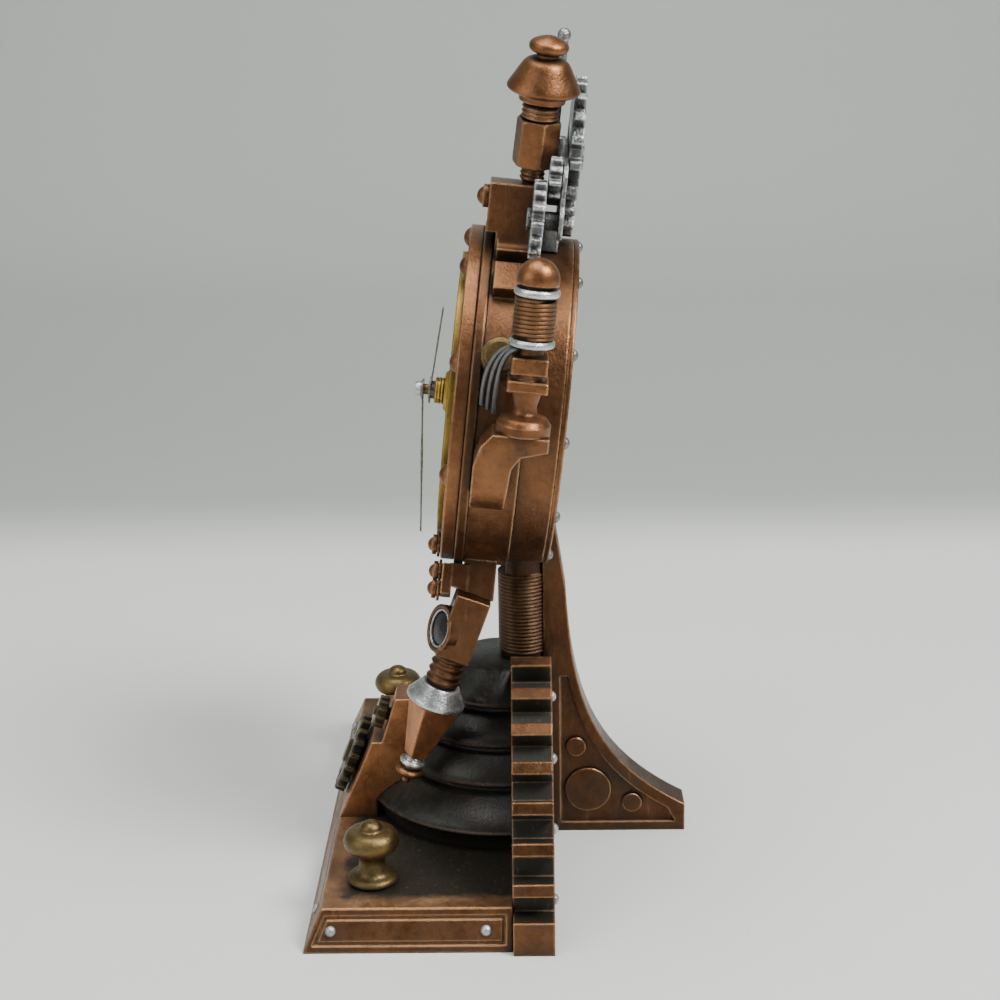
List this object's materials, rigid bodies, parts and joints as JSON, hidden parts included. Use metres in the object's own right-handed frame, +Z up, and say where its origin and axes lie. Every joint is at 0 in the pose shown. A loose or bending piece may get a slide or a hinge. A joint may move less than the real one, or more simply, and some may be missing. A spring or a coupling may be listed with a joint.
{
  "type": "desk clock",
  "caption": "Ornamental desk clock: tilted round case with gold dial and hands on a stepped stand with half gear and leg, turned finial, wound side post, strut with nozzle, toothed wheels.",
  "frame": {"origin": "centre of the footprint on the table", "axes": "+Z up, the dial faces -Y, +X to the right of a person who reads the dial"},
  "size_m": [0.1568, 0.1116, 0.2429],
  "materials": {
    "bronze": "dark antique bronze paint with bright worn edges",
    "copper": "antique copper paint with bright worn edges",
    "gunmetal": "dark green-black metal paint, satin",
    "antique_brass": "dull antique brass paint",
    "gold": "textured gold paint",
    "silver": "brushed silver paint",
    "dark_steel": "darkened steel",
    "copper_wire": "bare copper wire",
    "lead_grey": "dull grey metal paint",
    "hand_metal": "blackened sheet, satin",
    "steel": "plain steel",
    "brass": "turned brass",
    "black_plastic": "black moulded plastic",
    "wheel_plastic": "pale moulded plastic",
    "battery_sleeve": "plain printed sleeve without marks",
    "coil_copper": "enamelled copper winding",
    "board": "green board"
  },
  "bodies": {
    "stand": {"base_plate": "bronze", "base_rivets": "silver", "half_gear": "bronze", "gear_rivets": "silver", "dome_disc_lower": "gunmetal", "dome_disc_middle": "gunmetal", "dome_disc_upper": "gunmetal", "dome_cap": "gunmetal", "column": "bronze", "tie_bolt": "dark_steel", "rear_leg": "bronze", "leg_studs": "bronze", "knob_left": "antique_brass", "knob_right": "antique_brass", "console": "copper", "console_gear_large": "gunmetal", "console_gear_small": "gunmetal", "case_drum": "bronze", "case_frame": "bronze", "seam_ring": "bronze", "bezel": "copper", "dial": "gold", "rear_cover": "bronze", "cover_rivets": "dark_steel", "lug_screw": "copper", "rosette_screws": "copper", "finial_rod": "copper", "finial_nut": "copper", "finial_bell": "copper", "train_gear_large": "silver", "train_gear_middle": "silver", "train_gear_small": "silver", "gear_bridge": "silver", "gear_arbors": "silver", "spindle": "silver", "side_arm": "copper", "coil_post": "copper", "coil_rings": "silver", "coil_wire": "copper_wire", "coil_ball": "copper", "lead_wires": "lead_grey", "side_boss": "antique_brass", "strut_arm": "copper", "nozzle_collar": "silver", "nozzle_body": "copper", "nozzle_tip": "silver", "movement_case": "black_plastic", "movement_back": "black_plastic", "battery": "battery_sleeve", "motor_coil": "coil_copper", "circuit_board": "board", "bushing": "brass", "dial_nut": "gold"},
    "minute": {"minute_arbor": "brass", "minute_hand": "hand_metal", "hand_nut": "steel"},
    "hour": {"hour_tube": "steel", "hour_hand": "hand_metal"},
    "motion": {"motion_wheel": "wheel_plastic"},
    "setting": {"setting_knob": "black_plastic"}
  },
  "joints": [
    {"name": "minute_turn", "type": "hinge", "parent": "stand", "child": "minute", "pos_m": [0, -0.0132, 0.14047], "axis": [0, 0.9938, -0.1115], "continuous": true},
    {"name": "hour_turn", "type": "hinge", "parent": "stand", "child": "hour", "pos_m": [0, -0.0132, 0.14047], "axis": [0, 0.9938, -0.1115], "continuous": true},
    {"name": "motion_turn", "type": "hinge", "parent": "stand", "child": "motion", "pos_m": [0.011, -0.0132, 0.14047], "axis": [0, 0.9938, -0.1115], "continuous": true},
    {"name": "setting_turn", "type": "hinge", "parent": "stand", "child": "setting", "pos_m": [0.022, -0.0132, 0.14047], "axis": [0, 0.9938, -0.1115], "continuous": true}
  ],
  "couplings": [
    {"joint": "hour_turn", "follows": "minute_turn", "ratio": 0.083333},
    {"joint": "motion_turn", "follows": "minute_turn", "ratio": -0.33333},
    {"joint": "setting_turn", "follows": "minute_turn", "ratio": 1}
  ]
}
